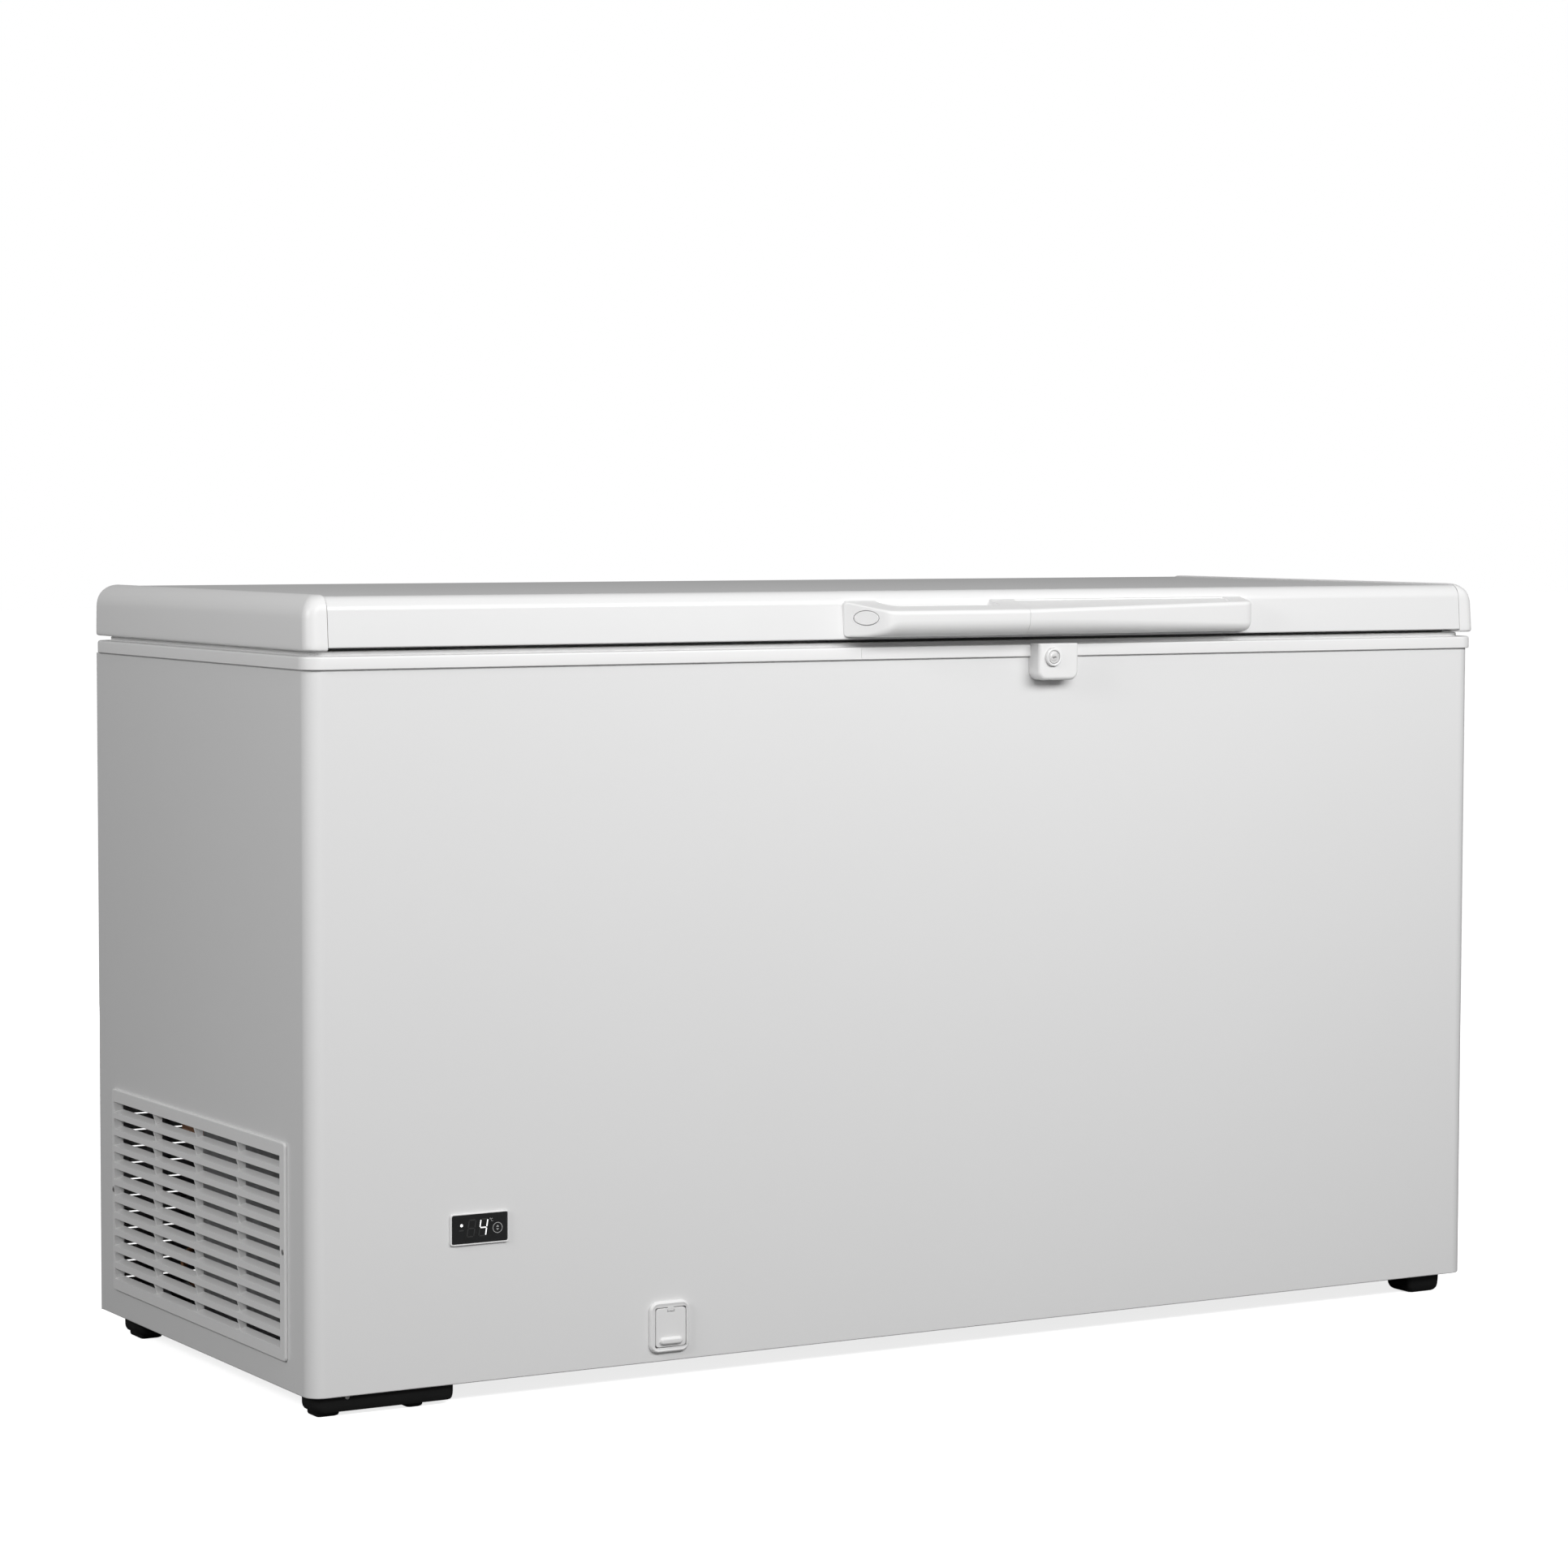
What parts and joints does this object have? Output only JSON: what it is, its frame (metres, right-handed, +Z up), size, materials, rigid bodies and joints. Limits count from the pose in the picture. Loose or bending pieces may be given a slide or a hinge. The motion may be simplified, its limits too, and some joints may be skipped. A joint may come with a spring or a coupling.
{
  "type": "chest freezer",
  "caption": "White commercial chest freezer with a hinged solid lid, long lid handle, key lock, digital display, drain cover and louvred side grille.",
  "frame": {"origin": "on the floor under the centre of the object's bounding box, which is also under the centre of the cabinet", "axes": "+X to the right along the front, +Y to the rear, +Z up"},
  "size_m": [1.535, 0.678, 0.8595],
  "materials": {
    "white_paint": "satin",
    "white_plastic": "satin",
    "galvanised_sheet": "satin",
    "insulation": "matte",
    "tank_aluminium": "satin",
    "screw_steel": "satin",
    "display_black": "gloss",
    "black_plastic": "matte",
    "black_rubber": "matte",
    "seal_grey": "matte",
    "black_enamel": "satin",
    "copper_pipe": "satin"
  },
  "bodies": {
    "cabinet": {"cabinet_wrap": "white_paint", "rear_panel": "white_paint", "top_rim": "white_plastic", "side_grille": "white_plastic", "display_bezel": "white_plastic", "drain_plate": "white_plastic", "drain_tube": "white_plastic", "lock_housing": "white_plastic", "lock_ring": "white_plastic", "bottom_panel": "galvanised_sheet", "bay_panel": "galvanised_sheet", "rear_vent_cover": "galvanised_sheet", "compressor_tray": "galvanised_sheet", "fan_shroud": "galvanised_sheet", "fan_bracket": "galvanised_sheet", "insulation_foam": "insulation", "liner_floor": "tank_aluminium", "liner_front": "tank_aluminium", "liner_rear": "tank_aluminium", "condenser": "tank_aluminium", "grille_screw_front": "screw_steel", "grille_screw_rear": "screw_steel", "hinge_base_left": "screw_steel", "hinge_base_right": "screw_steel", "hinge_pin_left": "screw_steel", "hinge_pin_right": "screw_steel", "display_glass": "display_black", "controller_box": "black_plastic", "left_front_foot": "black_plastic", "left_rear_foot": "black_plastic", "right_front_foot": "black_plastic", "right_rear_foot": "black_plastic", "cable_gland": "black_plastic", "relay_cover": "black_plastic", "compressor_mount_1": "black_rubber", "compressor_mount_2": "black_rubber", "compressor_mount_3": "black_rubber", "compressor_mount_4": "black_rubber", "compressor": "black_enamel", "fan_motor": "black_enamel", "discharge_pipe": "copper_pipe", "suction_pipe": "copper_pipe", "filter_drier": "copper_pipe", "capillary_tube": "copper_pipe"},
    "lid": {"lid_skin": "white_paint", "lid_foam": "insulation", "lid_inner_panel": "white_plastic", "left_end_cap": "white_plastic", "right_end_cap": "white_plastic", "lid_gasket": "seal_grey", "handle_grip": "white_plastic", "handle_cover": "white_plastic", "handle_plug": "white_plastic", "hinge_arm_left": "screw_steel", "hinge_arm_right": "screw_steel"},
    "drain_door": {"drain_door": "white_plastic"},
    "drain_plug": {"drain_plug": "black_rubber"},
    "lock_plug": {"lock_plug": "screw_steel"},
    "fan": {"fan_rotor": "black_plastic"}
  },
  "joints": [
    {"name": "lid_hinge", "type": "hinge", "parent": "cabinet", "child": "lid", "pos_m": [0, 0.325, 0.8], "axis": [-1, 0, 0], "range_deg": [0, 80]},
    {"name": "lock_turn", "type": "hinge", "parent": "cabinet", "child": "lock_plug", "pos_m": [0.1435, -0.316, 0.7816], "axis": [0, -1, 0], "range_deg": [0, 90]},
    {"name": "drain_door_hinge", "type": "hinge", "parent": "cabinet", "child": "drain_door", "pos_m": [-0.3382, -0.2969, 0.0796], "axis": [-1, 0, 0], "range_deg": [0, 100]},
    {"name": "drain_plug_pull", "type": "slide", "parent": "cabinet", "child": "drain_plug", "axis": [0, 0, 1], "range_m": [0, 0.04]},
    {"name": "fan_spin", "type": "hinge", "parent": "cabinet", "child": "fan", "pos_m": [-0.675, -0.0875, 0.16], "axis": [1, 0, 0], "continuous": true}
  ]
}
